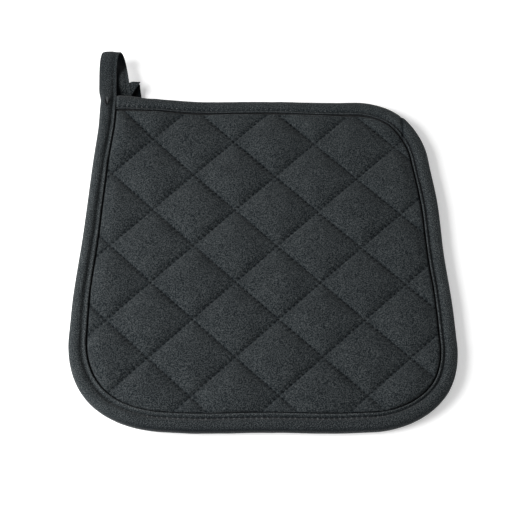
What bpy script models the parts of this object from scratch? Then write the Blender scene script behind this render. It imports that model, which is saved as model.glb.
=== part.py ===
"""Quilted pot holder: a square pad of charcoal cloth quilted in diamonds, its edge bound
with a folded tape, and a loop of the same tape to hang it by at the top left corner.

Units are metres, +Z is up and the pad lies on Z = 0. The sizes and tables below are in
the pad's own frame, with the middle of the pad at the origin. PLACE moves the pieces so
that the middle of the whole thing, loop included, is there instead.
"""

import math

import bmesh
import bpy
import numpy as np
from mathutils import Vector

PLACE = (-0.0001, -0.0156, 0.0)

# The outer edge of the binding, clockwise from above. A row is a corner of the outline
# before it is rounded, its radius, how far the side that follows it bulges, and the
# width of the binding there.
#               x        y      radius  bulge   width
CORNERS = (
    ("top left", -0.0898, 0.0999, 0.0, 0.0005, 0.0080),
    ("top right", 0.0896, 0.1001, 0.041, 0.0006, 0.0092),
    ("bottom right", 0.1041, -0.1010, 0.046, 0.0004, 0.0088),
    ("bottom left", -0.1043, -0.1010, 0.050, 0.0004, 0.0086),
)
# The edge strays from that outline, as sewn cloth does: degrees clockwise from the top
# left corner as seen from the middle, and how far out.
EDGE_WAVES = (
    (0, 0.0),
    (22, -0.0002),
    (45, 0.0002),
    (60, -0.0002),
    (80, 0.0004),
    (93, -0.0007),
    (112, 0.0006),
    (132, -0.0005),
    (150, 0.0002),
    (162, -0.0003),
    (172, 0.0004),
    (188, -0.0004),
    (202, 0.0004),
    (220, -0.0003),
    (241, 0.0005),
    (253, -0.0007),
    (269, 0.0003),
    (283, -0.0005),
    (298, 0.0004),
    (320, -0.0003),
    (343, 0.0002),
    (353, 0.0),
    (360, 0.0009),
)
ARC_STEPS = 12
SIDE_STEPS = 16

# Heights. The seams and the edge are thin, and each diamond is stuffed to its crown.
MIDDLE = 0.0041  # the pad's middle layer above the table
EDGE_HALF = 0.0014  # half the thickness in the binding
SEAM_HALF = 0.0019  # half the thickness at a seam
CROWN = 0.0027  # how far a diamond's crown stands above its seams
CROWN_SPREAD = 0.08  # how unlike each other the diamonds are
CROWN_POWER = 2.4  # higher is flatter on top, with steeper sides
LIFT = 0.0046  # how far the loop's sewn end props the top left corner up
LIFT_REACH = 0.065

# Quilting: straight seams both ways, a little turned, leaning and bent.
DIAMOND_HALF = 0.0224  # half a diamond's diagonal, for squares of 1 1/4 inch
QUILT_SQUASH = 0.986
QUILT_LEAN = -0.022
QUILT_TURN = math.radians(-0.64)
QUILT_CENTRE = (-0.0031, -0.0052)
BEND_AT = 0.080  # the bends below are those at this distance from the centre
QUILT_BEND_X = (0.0, -0.0004, -0.0008)  # for x * x, x * y and y * y
QUILT_BEND_Y = (-0.0009, -0.0017, 0.0005)
SEAMS_EACH_WAY = 10
STEPS_IN_A_DIAMOND = 6

# Binding: half of its C-shaped section, as the way in from the edge and the height above
# the middle layer. The outside runs from the inner edge to the rim, the inside back.
#               in      up
BINDING_OUTSIDE = (
    (0.0080, 0.0029),
    (0.0076, 0.0032),
    (0.0063, 0.0028),
    (0.0047, 0.0034),
    (0.0024, 0.0033),
    (0.0009, 0.0025),
    (0.0001, 0.0012),
)
BINDING_INSIDE = (
    (0.0014, 0.0012),
    (0.0019, 0.0017),
    (0.0050, 0.0018),
    (0.0080, 0.0023),
)
SECTION_WIDTH = BINDING_OUTSIDE[0][0]
RISE_START = 0.0010  # the stuffing starts this far in from the binding
RISE_LENGTH = 0.0080
GAP = 0.0003  # left between pieces that are sewn together
RIM = 0.0020  # from the edge to the pad inside the binding

# Loop: the middle of the tape, from the corner, up and over, back under the pad's top
# edge where it is sewn, and out again as a short tail.
#              x        y       z    thickness
LOOP = (
    ("foot", -0.0870, 0.1004, 0.0088, 0.0056),
    ("neck", -0.0870, 0.1036, 0.0090, 0.0036),
    ("rising", -0.0872, 0.1105, 0.0100, 0.0022),
    ("upper", -0.0874, 0.1180, 0.0111, 0.0020),
    ("crest", -0.0871, 0.1246, 0.0128, 0.0018),
    ("over", -0.0863, 0.1298, 0.0122, 0.0018),
    ("far", -0.0852, 0.1320, 0.0091, 0.0018),
    ("down", -0.0840, 0.1303, 0.0061, 0.0018),
    ("landing", -0.0830, 0.1262, 0.0053, 0.0018),
    ("lower", -0.0820, 0.1212, 0.0067, 0.0018),
    ("pinch", -0.0810, 0.1155, 0.0082, 0.0018),
    ("dive", -0.0800, 0.1095, 0.0070, 0.0018),
    ("under", -0.0791, 0.1040, 0.0043, 0.0018),
    ("sewn", -0.0785, 0.0985, 0.0034, 0.0018),
    ("turn", -0.0779, 0.0935, 0.0032, 0.0016),
    ("fold", -0.0771, 0.0917, 0.0022, 0.0014),
    ("return", -0.0763, 0.0935, 0.0012, 0.0016),
    ("out", -0.0750, 0.1020, 0.0012, 0.0018),
    ("tail", -0.0742, 0.1075, 0.0022, 0.0020),
    ("end", -0.0736, 0.1138, 0.0047, 0.0024),
)
LOOP_WIDTH = 0.0098
LOOP_STEPS = 4  # pieces of spline between two rows

CLOTH = (0.024, 0.028, 0.030)
TAPE = (0.023, 0.027, 0.029)


def cloth_material(name, colour):
    material = bpy.data.materials.new(name)
    material.use_nodes = True
    shader = material.node_tree.nodes["Principled BSDF"]
    shader.inputs["Base Color"].default_value = (*colour, 1.0)
    shader.inputs["Roughness"].default_value = 0.9
    shader.inputs["Metallic"].default_value = 0.0
    return material


def add_object(name, mesh, material, collection):
    mesh.materials.append(material)
    thing = bpy.data.objects.new(name, mesh)
    thing.location = PLACE
    collection.objects.link(thing)
    return thing


def smooth_step(t):
    t = min(max(t, 0.0), 1.0)
    return t * t * (3.0 - 2.0 * t)


def stray(x, y):
    """How far out of its outline the edge strays at a point."""
    _, corner_x, corner_y, *_ = CORNERS[0]
    turn = math.degrees(math.atan2(corner_y, corner_x) - math.atan2(y, x)) % 360
    for (start, low), (end, high) in zip(EDGE_WAVES, EDGE_WAVES[1:]):
        if turn <= end:
            break
    return low + (high - low) * smooth_step((turn - start) / (end - start))


def edge_stations():
    """Stations on the edge, clockwise from the top left corner: the point, the way in
    from it and the binding's width."""
    corners = [Vector((x, y)) for _, x, y, *_ in CORNERS]
    arcs = []
    for i, corner in enumerate(corners):
        radius = CORNERS[i][3]
        back = (corners[i - 1] - corner).normalized()
        on = (corners[(i + 1) % 4] - corner).normalized()
        half = back.angle(on) / 2
        centre = corner + (back + on).normalized() * radius / math.sin(half)
        reach = radius / math.tan(half)
        arcs.append((centre, corner + back * reach, corner + on * reach))

    stations = []
    for i, (centre, start, end) in enumerate(arcs):
        _, _, _, radius, bulge, width = CORNERS[i]
        next_width = CORNERS[(i + 1) % 4][5]
        if radius > 0:
            turn = (start - centre).angle_signed(end - centre)
            first = math.atan2(start.y - centre.y, start.x - centre.x)
            for k in range(ARC_STEPS):
                angle = first - turn * k / ARC_STEPS
                out = Vector((math.cos(angle), math.sin(angle)))
                stations.append((centre + out * radius, -out, width))
        side = arcs[(i + 1) % 4][1] - end
        along = side.normalized()
        inward = Vector((along.y, -along.x))
        for k in range(SIDE_STEPS + (i == 3)):
            t = k / SIDE_STEPS
            bow = bulge * 16 * (t * (1 - t)) ** 2
            slope = bulge * 32 * t * (1 - t) * (1 - 2 * t) / side.length
            point = end + side * t - inward * bow
            here = width + (next_width - width) * t
            stations.append((point, (inward + along * slope).normalized(), here))
    last = len(stations) - 1
    return [
        (point - inward * (EDGE_WAVES[-1][1] if i == last else stray(*point)), inward, width)
        for i, (point, inward, width) in enumerate(stations)
    ]


EDGE = edge_stations()
EDGE_POINTS = np.array([tuple(point) for point, _, _ in EDGE])
EDGE_WIDTHS = np.array([width for _, _, width in EDGE])


def inside_binding(x, y):
    """How far inside the binding's inner edge a point of the pad is."""
    side = np.roll(EDGE_POINTS, -1, axis=0) - EDGE_POINTS
    offset = np.array((x, y)) - EDGE_POINTS
    length = np.maximum((side**2).sum(axis=1), 1e-12)
    t = np.clip((offset * side).sum(axis=1) / length, 0.0, 1.0)
    away = np.sqrt(((offset - side * t[:, None]) ** 2).sum(axis=1))
    return float((away - EDGE_WIDTHS).min())


def middle_height(x, y):
    """The height of the pad's middle layer, which the loop's end props up at one corner."""
    _, corner_x, corner_y, *_ = CORNERS[0]
    away = min(math.hypot(x - corner_x, y - corner_y) / LIFT_REACH, 1.0)
    return MIDDLE + LIFT * (1.0 - away * away) ** 2


def bend(terms, x, y):
    u, v = x / BEND_AT, y / BEND_AT
    return terms[0] * u * u + terms[1] * u * v + terms[2] * v * v


def quilt_point(p, q):
    """Where a point of the quilting lies. Its seams are at the whole numbers of p and q."""
    x = (p + q + 0.5) * DIAMOND_HALF
    y = (p - q + 0.5) * DIAMOND_HALF * QUILT_SQUASH
    bent_x, bent_y = bend(QUILT_BEND_X, x, y), bend(QUILT_BEND_Y, x, y)
    x += QUILT_LEAN * y
    c, s = math.cos(QUILT_TURN), math.sin(QUILT_TURN)
    return Vector(
        (
            c * x - s * y + bent_x + QUILT_CENTRE[0],
            s * x + c * y + bent_y + QUILT_CENTRE[1],
        )
    )


def quilt_place(x, y):
    """The p and q of a point of the pad, closed in on from a first guess."""
    p = q = 0.0
    for _ in range(8):
        miss = Vector((x, y)) - quilt_point(p, q)
        up, across = miss.x / DIAMOND_HALF, miss.y / (DIAMOND_HALF * QUILT_SQUASH)
        p, q = p + (up + across) / 2, q + (up - across) / 2
    return p, q


def stuffing(x, y):
    """How much thicker the pad is on each side at a point than in the binding."""
    p, q = quilt_place(x, y)
    across = abs(2 * (p - math.floor(p)) - 1)
    along = abs(2 * (q - math.floor(q)) - 1)
    pillow = (1 - across**CROWN_POWER) * (1 - along**CROWN_POWER)
    unlike = 1 + CROWN_SPREAD * math.sin(12.9 * math.floor(p) + 78.2 * math.floor(q))
    edge = smooth_step((inside_binding(x, y) - RISE_START) / RISE_LENGTH)
    return edge * (SEAM_HALF - EDGE_HALF + CROWN * unlike * pillow)


def flat_slab(collection):
    """A flat slab whose grid follows the quilting, cut to the pad's outline."""
    grid = bmesh.new()
    steps = SEAMS_EACH_WAY * STEPS_IN_A_DIAMOND
    bmesh.ops.create_grid(
        grid, x_segments=steps, y_segments=steps, size=SEAMS_EACH_WAY / 2
    )
    for vert in grid.verts:
        vert.co = quilt_point(vert.co.x, vert.co.y).to_3d()
    bmesh.ops.recalc_face_normals(grid, faces=grid.faces)
    mesh = bpy.data.meshes.new("slab")
    grid.to_mesh(mesh)
    grid.free()
    slab = bpy.data.objects.new("slab", mesh)
    collection.objects.link(slab)

    first, last = EDGE[0], EDGE[-1]
    ring = [first[0] + (first[1] + last[1]) * RIM]
    ring += [point + inward * RIM for point, inward, _ in EDGE[1:-1]]
    prism = bmesh.new()
    base = prism.faces.new([prism.verts.new((x, y, -0.02)) for x, y in ring])
    top = bmesh.ops.extrude_face_region(prism, geom=[base])["geom"]
    raised = [item for item in top if isinstance(item, bmesh.types.BMVert)]
    bmesh.ops.translate(prism, verts=raised, vec=(0, 0, 0.04))
    bmesh.ops.recalc_face_normals(prism, faces=prism.faces)
    cut_mesh = bpy.data.meshes.new("outline")
    prism.to_mesh(cut_mesh)
    prism.free()
    cutter = bpy.data.objects.new("outline", cut_mesh)
    cutter.hide_render = True
    collection.objects.link(cutter)

    solid = slab.modifiers.new("thickness", "SOLIDIFY")
    solid.thickness = 2 * EDGE_HALF
    solid.offset = 0
    cut = slab.modifiers.new("outline", "BOOLEAN")
    cut.operation = "INTERSECT"
    cut.solver = "EXACT"
    cut.object = cutter
    bpy.context.view_layer.update()
    ready = slab.evaluated_get(bpy.context.evaluated_depsgraph_get())
    result = bpy.data.meshes.new_from_object(ready)
    for thing in (slab, cutter):
        bpy.data.objects.remove(thing, do_unlink=True)
    return result


def quilted_panel(collection, cutters, material):
    """The pad: both faces of the slab raised into stuffed diamonds, flat on the table."""
    slab = flat_slab(cutters)
    mesh = bmesh.new()
    mesh.from_mesh(slab)
    bpy.data.meshes.remove(slab)
    bmesh.ops.remove_doubles(mesh, verts=mesh.verts, dist=0.00005)
    for vert in mesh.verts:
        x, y, z = vert.co
        side = 1 if z > 0 else -1
        thick = EDGE_HALF + stuffing(x, y)
        vert.co.z = max(middle_height(x, y) + side * thick, 0.0)
    bmesh.ops.triangulate(mesh, faces=mesh.faces)
    shape = bpy.data.meshes.new("quilted_panel")
    mesh.to_mesh(shape)
    mesh.free()
    return add_object("quilted_panel", shape, material, collection)


def sweep(name, rings):
    """A closed solid through rings of points, with a flat cap at each end."""
    mesh = bmesh.new()
    rows = [[mesh.verts.new(point) for point in ring] for ring in rings]
    count = len(rows[0])
    for row, following in zip(rows, rows[1:]):
        for k in range(count):
            after = (k + 1) % count
            mesh.faces.new((row[k], row[after], following[after], following[k]))
    mesh.faces.new(reversed(rows[0]))
    mesh.faces.new(rows[-1])
    bmesh.ops.recalc_face_normals(mesh, faces=mesh.faces)
    shape = bpy.data.meshes.new(name)
    mesh.to_mesh(shape)
    mesh.free()
    return shape


def binding(collection, material):
    """One tape folded over the edge, from the corner all the way round to the corner."""
    upper = BINDING_OUTSIDE
    lower = tuple((into, -up) for into, up in reversed(BINDING_OUTSIDE))
    inner = tuple((into, -up) for into, up in reversed(BINDING_INSIDE))
    section = upper + lower + inner + BINDING_INSIDE

    first, inward, width = EDGE[0]
    along = (EDGE[1][0] - first).normalized()
    start = (first + along * (CORNERS[0][5] + GAP), inward, width)
    rings = []
    for point, inward, width in [start] + EDGE[1:]:
        ring = []
        for into, up in section:
            widen = (width - SECTION_WIDTH) * max(into - RIM, 0) / (SECTION_WIDTH - RIM)
            place = point + inward * (into + widen)
            ring.append((*place, middle_height(*place) + up))
        rings.append(ring)
    return add_object("binding", sweep("binding", rings), material, collection)


def spline(rows, steps):
    """Catmull-Rom points through rows of numbers, steps of them to each row."""
    rows = np.array(rows)
    ends = np.vstack([2 * rows[0] - rows[1], rows, 2 * rows[-1] - rows[-2]])
    points = []
    for a, b, c, d in zip(ends, ends[1:], ends[2:], ends[3:]):
        for k in range(steps):
            t = k / steps
            points.append(
                b
                + (c - a) * t / 2
                + (2 * a - 5 * b + 4 * c - d) * t**2 / 2
                + (3 * b - a - 3 * c + d) * t**3 / 2
            )
    return points + [rows[-1]]


def hanging_loop(collection, material):
    """The tape's loop, a flat strip with rounded edges that stays level across."""
    points = spline([row[1:] for row in LOOP], LOOP_STEPS)
    middles = [Vector(point[:3]) for point in points]
    rings = []
    for i, middle in enumerate(middles):
        before, after = middles[max(i - 1, 0)], middles[min(i + 1, len(middles) - 1)]
        along = (after - before).normalized()
        across = Vector((1, 0, 0))
        up = across.cross(along).normalized()
        half, thick = LOOP_WIDTH / 2, points[i][3] / 2
        round_off = min(0.7 * thick, 0.0010)
        rings.append(
            [
                middle + across * side * (half - inset) + up * face * (thick - drop)
                for side, face, inset, drop in (
                    (-1, 1, round_off, 0),
                    (1, 1, round_off, 0),
                    (1, 1, 0, round_off),
                    (1, -1, 0, round_off),
                    (1, -1, round_off, 0),
                    (-1, -1, round_off, 0),
                    (-1, -1, 0, round_off),
                    (-1, 1, 0, round_off),
                )
            ]
        )
    return add_object("hanging_loop", sweep("hanging_loop", rings), material, collection)


for thing in list(bpy.data.objects):
    bpy.data.objects.remove(thing, do_unlink=True)
pot_holder = bpy.data.collections.new("quilted pot holder")
cutting = bpy.data.collections.new("cutters")
for group in (pot_holder, cutting):
    bpy.context.scene.collection.children.link(group)
quilted_panel(pot_holder, cutting, cloth_material("brushed cotton", CLOTH))
binding(pot_holder, cloth_material("binding tape", TAPE))
hanging_loop(pot_holder, cloth_material("loop tape", TAPE))
bpy.data.collections.remove(cutting)
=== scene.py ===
"""Quilted pot holder in charcoal cotton: a wadded panel sewn in diamonds, its edge bound
with a folded bias tape whose free end is curled over to hang it by.

Metres, +Z up, lying on Z = 0, with the loop at the upper left. The tables of sizes are in
the panel's own frame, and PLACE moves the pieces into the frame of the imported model.
"""

import math

import bmesh
import bpy
import numpy as np
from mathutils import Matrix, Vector


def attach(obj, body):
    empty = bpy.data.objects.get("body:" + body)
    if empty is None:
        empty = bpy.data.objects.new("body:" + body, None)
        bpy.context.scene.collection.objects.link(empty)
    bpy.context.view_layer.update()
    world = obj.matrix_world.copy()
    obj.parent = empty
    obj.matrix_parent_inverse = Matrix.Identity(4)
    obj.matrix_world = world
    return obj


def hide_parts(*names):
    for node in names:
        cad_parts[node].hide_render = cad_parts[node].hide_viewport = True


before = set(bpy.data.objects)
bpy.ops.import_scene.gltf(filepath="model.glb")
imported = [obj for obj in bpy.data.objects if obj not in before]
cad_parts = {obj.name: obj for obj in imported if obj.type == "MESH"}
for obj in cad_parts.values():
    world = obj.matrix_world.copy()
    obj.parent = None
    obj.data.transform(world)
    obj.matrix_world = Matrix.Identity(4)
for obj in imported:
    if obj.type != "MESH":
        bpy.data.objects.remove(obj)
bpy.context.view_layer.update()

# ------------------------------------------------------------
# Quilted panel: two faces of brushed cotton with wadding between them, sewn through along
# crossing seams so that each diamond stands up as a cushion. Its rim is inside the binding
# and the back lies on the table.

PLACE = np.array((-0.0001, -0.0156, 0.0))
# The outer edge of the binding, clockwise from above: a corner before it is rounded, its
# radius, how far the side after it bulges, and the binding's width there.
#     x        y      radius  bulge   width
CORNERS = (
    (-0.0898, 0.0999, 0.0, 0.0005, 0.0080),
    (0.0896, 0.1001, 0.041, 0.0006, 0.0092),
    (0.1041, -0.1010, 0.046, 0.0004, 0.0088),
    (-0.1043, -0.1010, 0.050, 0.0004, 0.0086),
)
# How far the sewn edge strays outwards, by degrees clockwise from the upper left corner.
EDGE_WAVES = (
    (0, 0.0021), (4, 0.0019), (10, 0.0004), (22, -0.0002), (45, 0.0002), (60, -0.0002),
    (80, 0.0004), (93, -0.0007), (112, 0.0006), (132, -0.0005), (150, 0.0002),
    (162, -0.0003), (172, 0.0004), (188, -0.0004), (202, 0.0004), (220, -0.0003),
    (241, 0.0005), (253, -0.0005), (269, 0.0007), (283, -0.0002), (298, 0.0007),
    (320, 0.0001), (343, 0.0005), (353, 0.0002), (360, 0.0011),
)
# And how much wider the tape is than CORNERS says, by the same degrees.
WIDTH_WAVES = (
    (0, 0.0021), (4, 0.0018), (10, 0.0002), (45, -0.0007), (75, 0.0), (92, 0.0003),
    (118, -0.0003), (140, -0.0005), (172, -0.0001), (195, 0.0007), (225, 0.0010),
    (252, 0.0010), (270, 0.0011), (300, 0.0), (345, 0.0), (353, 0.0007), (360, 0.0011),
)
ARC_STEPS = 96
SIDE_STEPS = 184

MIDDLE = 0.0041  # the middle layer above the table
LIFT = 0.0046  # how far the loop's sewn end props the upper left corner up
LIFT_REACH = 0.065
EDGE_HALF = 0.0014  # half the thickness inside the binding
SEAM_HALF = 0.0019  # and at a seam
CROWN = 0.0027
CROWN_POWER = 2.5
CROWN_SPREAD = 0.12
RIM = 0.0020  # from the binding's outer edge to the panel's rim

CELL = 0.0317  # between two seams
DIAMOND_HALF = 0.0224
QUILT_SQUASH = 0.986
QUILT_LEAN = -0.022
QUILT_TURN = math.radians(-0.64)
QUILT_CENTRE = (-0.0031, -0.0052)
# The seams bend a little, by these metres times the squares of the place over BEND_AT.
BEND_AT = 0.080
QUILT_BEND_X = (0.0, -0.0004, -0.0008)
QUILT_BEND_Y = (-0.0009, -0.0017, 0.0005)
SEAMS_EACH_WAY = 10
STITCHES = 11  # along one side of a diamond
FRONT_STEPS = 44  # grid steps in a diamond, four to a stitch
BACK_STEPS = 22

SLOT = 0.00060  # the gap between the tape's inner edge and the cloth that swells beside it
FLANGE_HALF = 0.0006  # half the thickness of the pressed rim inside the tape
QUICK_SWELL = 0.62  # the share of the swell that is there within SWELL_ROUND of the slot
SWELL_ROUND = 0.0012
SWELL_START = 0.0003  # the rest comes from here on, over SWELL_REACH
SWELL_REACH = 0.0065
THINNEST = -0.0004  # the least that the wadding adds

DENT = 0.00045  # the seam's own narrow dent
DENT_REACH = 0.0008
PUCKER = 0.00030  # the small ridges between the needle holes
PUCKER_REACH = 0.0020
PUCKER_SPREAD = 0.7  # how unlike their heights are
WAVER = 0.9  # how far they wander along the seam
PLUMPNESS = 0.10  # how unlike the wadding is from place to place
CREASE = 0.00016  # soft unevenness of the cloth over the wadding


def smooth_step(t):
    t = np.clip(t, 0.0, 1.0)
    return t * t * (3.0 - 2.0 * t)


def between(table, x):
    """The values at x between a table's rows of a place and its value."""
    return np.interp(x, *np.array(table).T)


def uneven(x, y, seed):
    """Soft random hills from -1 to 1, about one unit across."""
    hills = np.random.default_rng(seed).uniform(-1, 1, (64, 64))
    x, y = np.broadcast_arrays(x, y)
    i, j = np.floor(x).astype(int), np.floor(y).astype(int)
    u, v = smooth_step(x - i), smooth_step(y - j)
    near = hills[i % 64, j % 64] * (1 - u) + hills[(i + 1) % 64, j % 64] * u
    far = hills[i % 64, (j + 1) % 64] * (1 - u) + hills[(i + 1) % 64, (j + 1) % 64] * u
    return near * (1 - v) + far * v


def clockwise(rows):
    """Degrees clockwise from the upper left corner, as seen from the middle, of rows that
    end back at that corner."""
    corner_angle = math.atan2(CORNERS[0][1], CORNERS[0][0])
    turn = np.degrees(corner_angle - np.arctan2(rows[:, 1], rows[:, 0])) % 360
    turn[-1] = 360.0
    return turn


def edge_stations():
    """Points on the binding's outer edge, clockwise from the upper left corner, each with
    the way in from it and the binding's width."""
    corners = [Vector(row[:2]) for row in CORNERS]
    arcs = []
    for i, corner in enumerate(corners):
        radius = CORNERS[i][2]
        back = (corners[i - 1] - corner).normalized()
        on = (corners[(i + 1) % 4] - corner).normalized()
        half = back.angle(on) / 2
        centre = corner + (back + on).normalized() * radius / math.sin(half)
        reach = radius / math.tan(half)
        arcs.append((centre, corner + back * reach, corner + on * reach))
    stations = []
    for i, (centre, start, end) in enumerate(arcs):
        _, _, radius, bulge, width = CORNERS[i]
        next_width = CORNERS[(i + 1) % 4][4]
        if radius > 0:
            turn = (start - centre).angle_signed(end - centre)
            first = math.atan2(start.y - centre.y, start.x - centre.x)
            for k in range(ARC_STEPS):
                angle = first - turn * k / ARC_STEPS
                out = Vector((math.cos(angle), math.sin(angle)))
                stations.append((*(centre + out * radius), *-out, width))
        side = arcs[(i + 1) % 4][1] - end
        along = side.normalized()
        inward = Vector((along.y, -along.x))
        for k in range(SIDE_STEPS + (i == 3)):
            t = k / SIDE_STEPS
            bow = bulge * 16 * (t * (1 - t)) ** 2
            slope = bulge * 32 * t * (1 - t) * (1 - 2 * t) / side.length
            way_in = (inward + along * slope).normalized()
            here = width + (next_width - width) * t
            stations.append((*(end + side * t - inward * bow), *way_in, here))
    rows = np.array(stations)
    turn = clockwise(rows)
    angles, outs = np.array(EDGE_WAVES).T
    k = np.clip(np.searchsorted(angles, turn) - 1, 0, len(angles) - 2)
    t = smooth_step((turn - angles[k]) / (angles[k + 1] - angles[k]))
    stray = outs[k] + (outs[k + 1] - outs[k]) * t
    rows[:, :2] -= rows[:, 2:4] * stray[:, None]
    rows[:, 4] += between(WIDTH_WAVES, turn)
    return rows


EDGE = edge_stations()
AT_ONCE = 4000  # points measured together


def inside_edge(points, every=4):
    """How far points of the panel are inside the binding's outer edge, the binding's width
    there and the nearest point on the edge."""
    ring = EDGE[:-1:every]
    start, side = ring[:, :2], np.roll(ring[:, :2], -1, axis=0) - ring[:, :2]
    length = (side**2).sum(axis=1)
    depth, width, near = [], [], []
    for some in np.array_split(points, max(len(points) // AT_ONCE, 1)):
        offset = some[:, None] - start
        t = np.clip((offset * side).sum(axis=2) / length, 0, 1)
        away = offset - side * t[..., None]
        reach = (away**2).sum(axis=2)
        k = reach.argmin(axis=1)
        row = np.arange(len(some))
        below = start[:, 1] <= some[:, 1:]
        beside = np.roll(below, -1, axis=1)
        meets = start[:, 0] + side[:, 0] * offset[..., 1] / (side[:, 1] + 1e-12)
        crossings = ((below != beside) & (some[:, :1] < meets)).sum(axis=1)
        depth.append(np.sqrt(reach[row, k]) * np.where(crossings % 2, 1, -1))
        width.append(ring[k, 4])
        near.append(some - away[row, k])
    return np.concatenate(depth), np.concatenate(width), np.concatenate(near)


def middle_height(points):
    away = np.hypot(points[:, 0] - CORNERS[0][0], points[:, 1] - CORNERS[0][1])
    return MIDDLE + LIFT * (1 - np.minimum(away / LIFT_REACH, 1) ** 2) ** 2


def quilt_points(p, q):
    """Where the quilting lies. Its seams are at the whole numbers of p and q."""
    x = (p + q + 0.5) * DIAMOND_HALF
    y = (p - q + 0.5) * DIAMOND_HALF * QUILT_SQUASH
    u, v = x / BEND_AT, y / BEND_AT
    bent = [t[0] * u * u + t[1] * u * v + t[2] * v * v for t in (QUILT_BEND_X, QUILT_BEND_Y)]
    x = x + QUILT_LEAN * y
    c, s = math.cos(QUILT_TURN), math.sin(QUILT_TURN)
    return np.stack(
        (c * x - s * y + bent[0] + QUILT_CENTRE[0], s * x + c * y + bent[1] + QUILT_CENTRE[1]),
        axis=-1,
    )


def seam_pull(across, along, seed):
    """The dent of the seams at the whole numbers of across, and the puckers that their
    stitches pull up beside them."""
    seam = np.round(across)
    away = np.abs(across - seam) * CELL
    side = np.sign(across - seam)
    stitch = along * STITCHES
    waver = uneven(along * 5, seam * 3.3 + side, seed)
    ridges = np.cos(2 * np.pi * stitch + WAVER * waver)
    strength = 1 + PUCKER_SPREAD * uneven(along * 3.1 + 9, seam * 5.7 + side, seed + 1)
    dent = DENT * np.exp(-((away / DENT_REACH) ** 1.3))
    return dent + PUCKER * strength * ridges * np.exp(-((away / PUCKER_REACH) ** 1.5))


def puff(p, q, depth, width, side):
    """How far a face of the panel stands off its middle layer."""
    across, along = np.abs(2 * (p % 1) - 1), np.abs(2 * (q % 1) - 1)
    pillow = (1 - across**CROWN_POWER) * (1 - along**CROWN_POWER)
    cell = np.floor(p) * 12.9 + np.floor(q) * 78.2
    crown = CROWN * (1 + CROWN_SPREAD * np.sin(cell))
    crown = crown * (1 + PLUMPNESS * uneven(p * 2.3, q * 2.3, 5 + side))
    stuffed = SEAM_HALF - EDGE_HALF + crown * pillow
    stuffed = stuffed - seam_pull(p, q, 11 + side) - seam_pull(q, p, 31 + side)
    stuffed = stuffed + CREASE * uneven(p * 5.1, q * 5.1, 47 + side)
    inside = depth - width - SLOT
    swell = QUICK_SWELL * np.sqrt(1 - (1 - np.clip(inside / SWELL_ROUND, 0, 1)) ** 2)
    swell = swell + (1 - QUICK_SWELL) * smooth_step((inside - SWELL_START) / SWELL_REACH)
    return EDGE_HALF + swell * np.maximum(stuffed, THINNEST)


def panel_face(mesh, steps, side):
    """Adds one face of the panel: a grid that follows the quilting, trimmed beside the tape,
    turned down there and run on flat to the rim. Returns the rim's edges."""
    shade = mesh.verts.layers.float.verify()
    old = set(mesh.verts)
    finished = set(mesh.edges)
    bmesh.ops.create_grid(
        mesh,
        x_segments=SEAMS_EACH_WAY * steps,
        y_segments=SEAMS_EACH_WAY * steps,
        size=SEAMS_EACH_WAY / 2,
    )
    new = [vert for vert in mesh.verts if vert not in old]
    quilting = mesh.loops.layers.uv.verify()
    for vert in new:
        for loop in vert.link_loops:
            loop[quilting].uv = vert.co.xy
    grid = np.array([vert.co.xy for vert in new])
    points = quilt_points(grid[:, 0], grid[:, 1])
    depth, width, near = inside_edge(points)
    inward = points - near
    inward /= np.maximum(np.linalg.norm(inward, axis=1), 1e-9)[:, None]
    inward *= np.where(depth < 0, -1, 1)[:, None]
    trim = width + SLOT
    cut = depth < trim
    points[cut] = near[cut] + inward[cut] * trim[cut, None]
    height = middle_height(points)
    height += side * puff(grid[:, 0], grid[:, 1], np.maximum(depth, trim), width, side)
    # The points trimmed beside the tape's slot are painted in shade, to darken the slot.
    for vert, (x, y), z, out in zip(new, points, np.maximum(height, 0.0), cut):
        vert.co = (x, y, z)
        vert[shade] = float(out)
    loose = {vert for vert, out in zip(new, cut) if out}
    faces = {face for vert in loose for face in vert.link_faces}
    gone = [face for face in faces if all(vert in loose for vert in face.verts)]
    bmesh.ops.delete(mesh, geom=gone, context="FACES")
    if side < 0:
        kept = [face for face in mesh.faces if face.verts[0] not in old]
        bmesh.ops.reverse_faces(mesh, faces=kept)
    rim = [edge for edge in mesh.edges if edge.is_boundary and edge not in finished]
    for outward in (False, True):
        drawn = bmesh.ops.extrude_edge_only(mesh, edges=rim)["geom"]
        verts = [item for item in drawn if isinstance(item, bmesh.types.BMVert)]
        rim = [
            item for item in drawn if isinstance(item, bmesh.types.BMEdge) and item.is_boundary
        ]
        points = np.array([vert.co.xy for vert in verts])
        if outward:
            _, _, near = inside_edge(points)
            inward = points - near
            points = near + inward / np.linalg.norm(inward, axis=1)[:, None] * RIM
        height = middle_height(points) + side * FLANGE_HALF
        # The rim turned down inside the tape is painted in full shade.
        for vert, (x, y), z in zip(verts, points, height):
            vert.co = (x, y, z)
            vert[shade] = 1.0
    return rim


def new_object(name, mesh, material):
    shape = bpy.data.meshes.new(name)
    mesh.to_mesh(shape)
    mesh.free()
    shape.materials.append(material)
    made = bpy.data.objects.new(name, shape)
    bpy.context.scene.collection.objects.link(made)
    return made


def finish_piece(name, mesh, material):
    """A mesh in the panel's frame becomes a piece of the pot holder."""
    bmesh.ops.translate(mesh, verts=mesh.verts, vec=PLACE)
    piece = new_object(name, mesh, material)
    piece.data.polygons.foreach_set("use_smooth", [True] * len(piece.data.polygons))
    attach(piece, "root")
    return piece


def add_node(tree, kind, links=None, **settings):
    """A shader node with its settings, its sockets given as values or as other sockets."""
    node = tree.nodes.new(kind)
    for name, value in settings.items():
        setattr(node, name, value)
    for name, value in (links or {}).items():
        if isinstance(value, bpy.types.NodeSocket):
            tree.links.new(value, node.inputs[name])
        else:
            node.inputs[name].default_value = value
    return node


def math_node(tree, operation, *values, clamp=False):
    links = dict(enumerate(values))
    node = add_node(tree, "ShaderNodeMath", links, operation=operation, use_clamp=clamp)
    return node.outputs[0]


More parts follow.
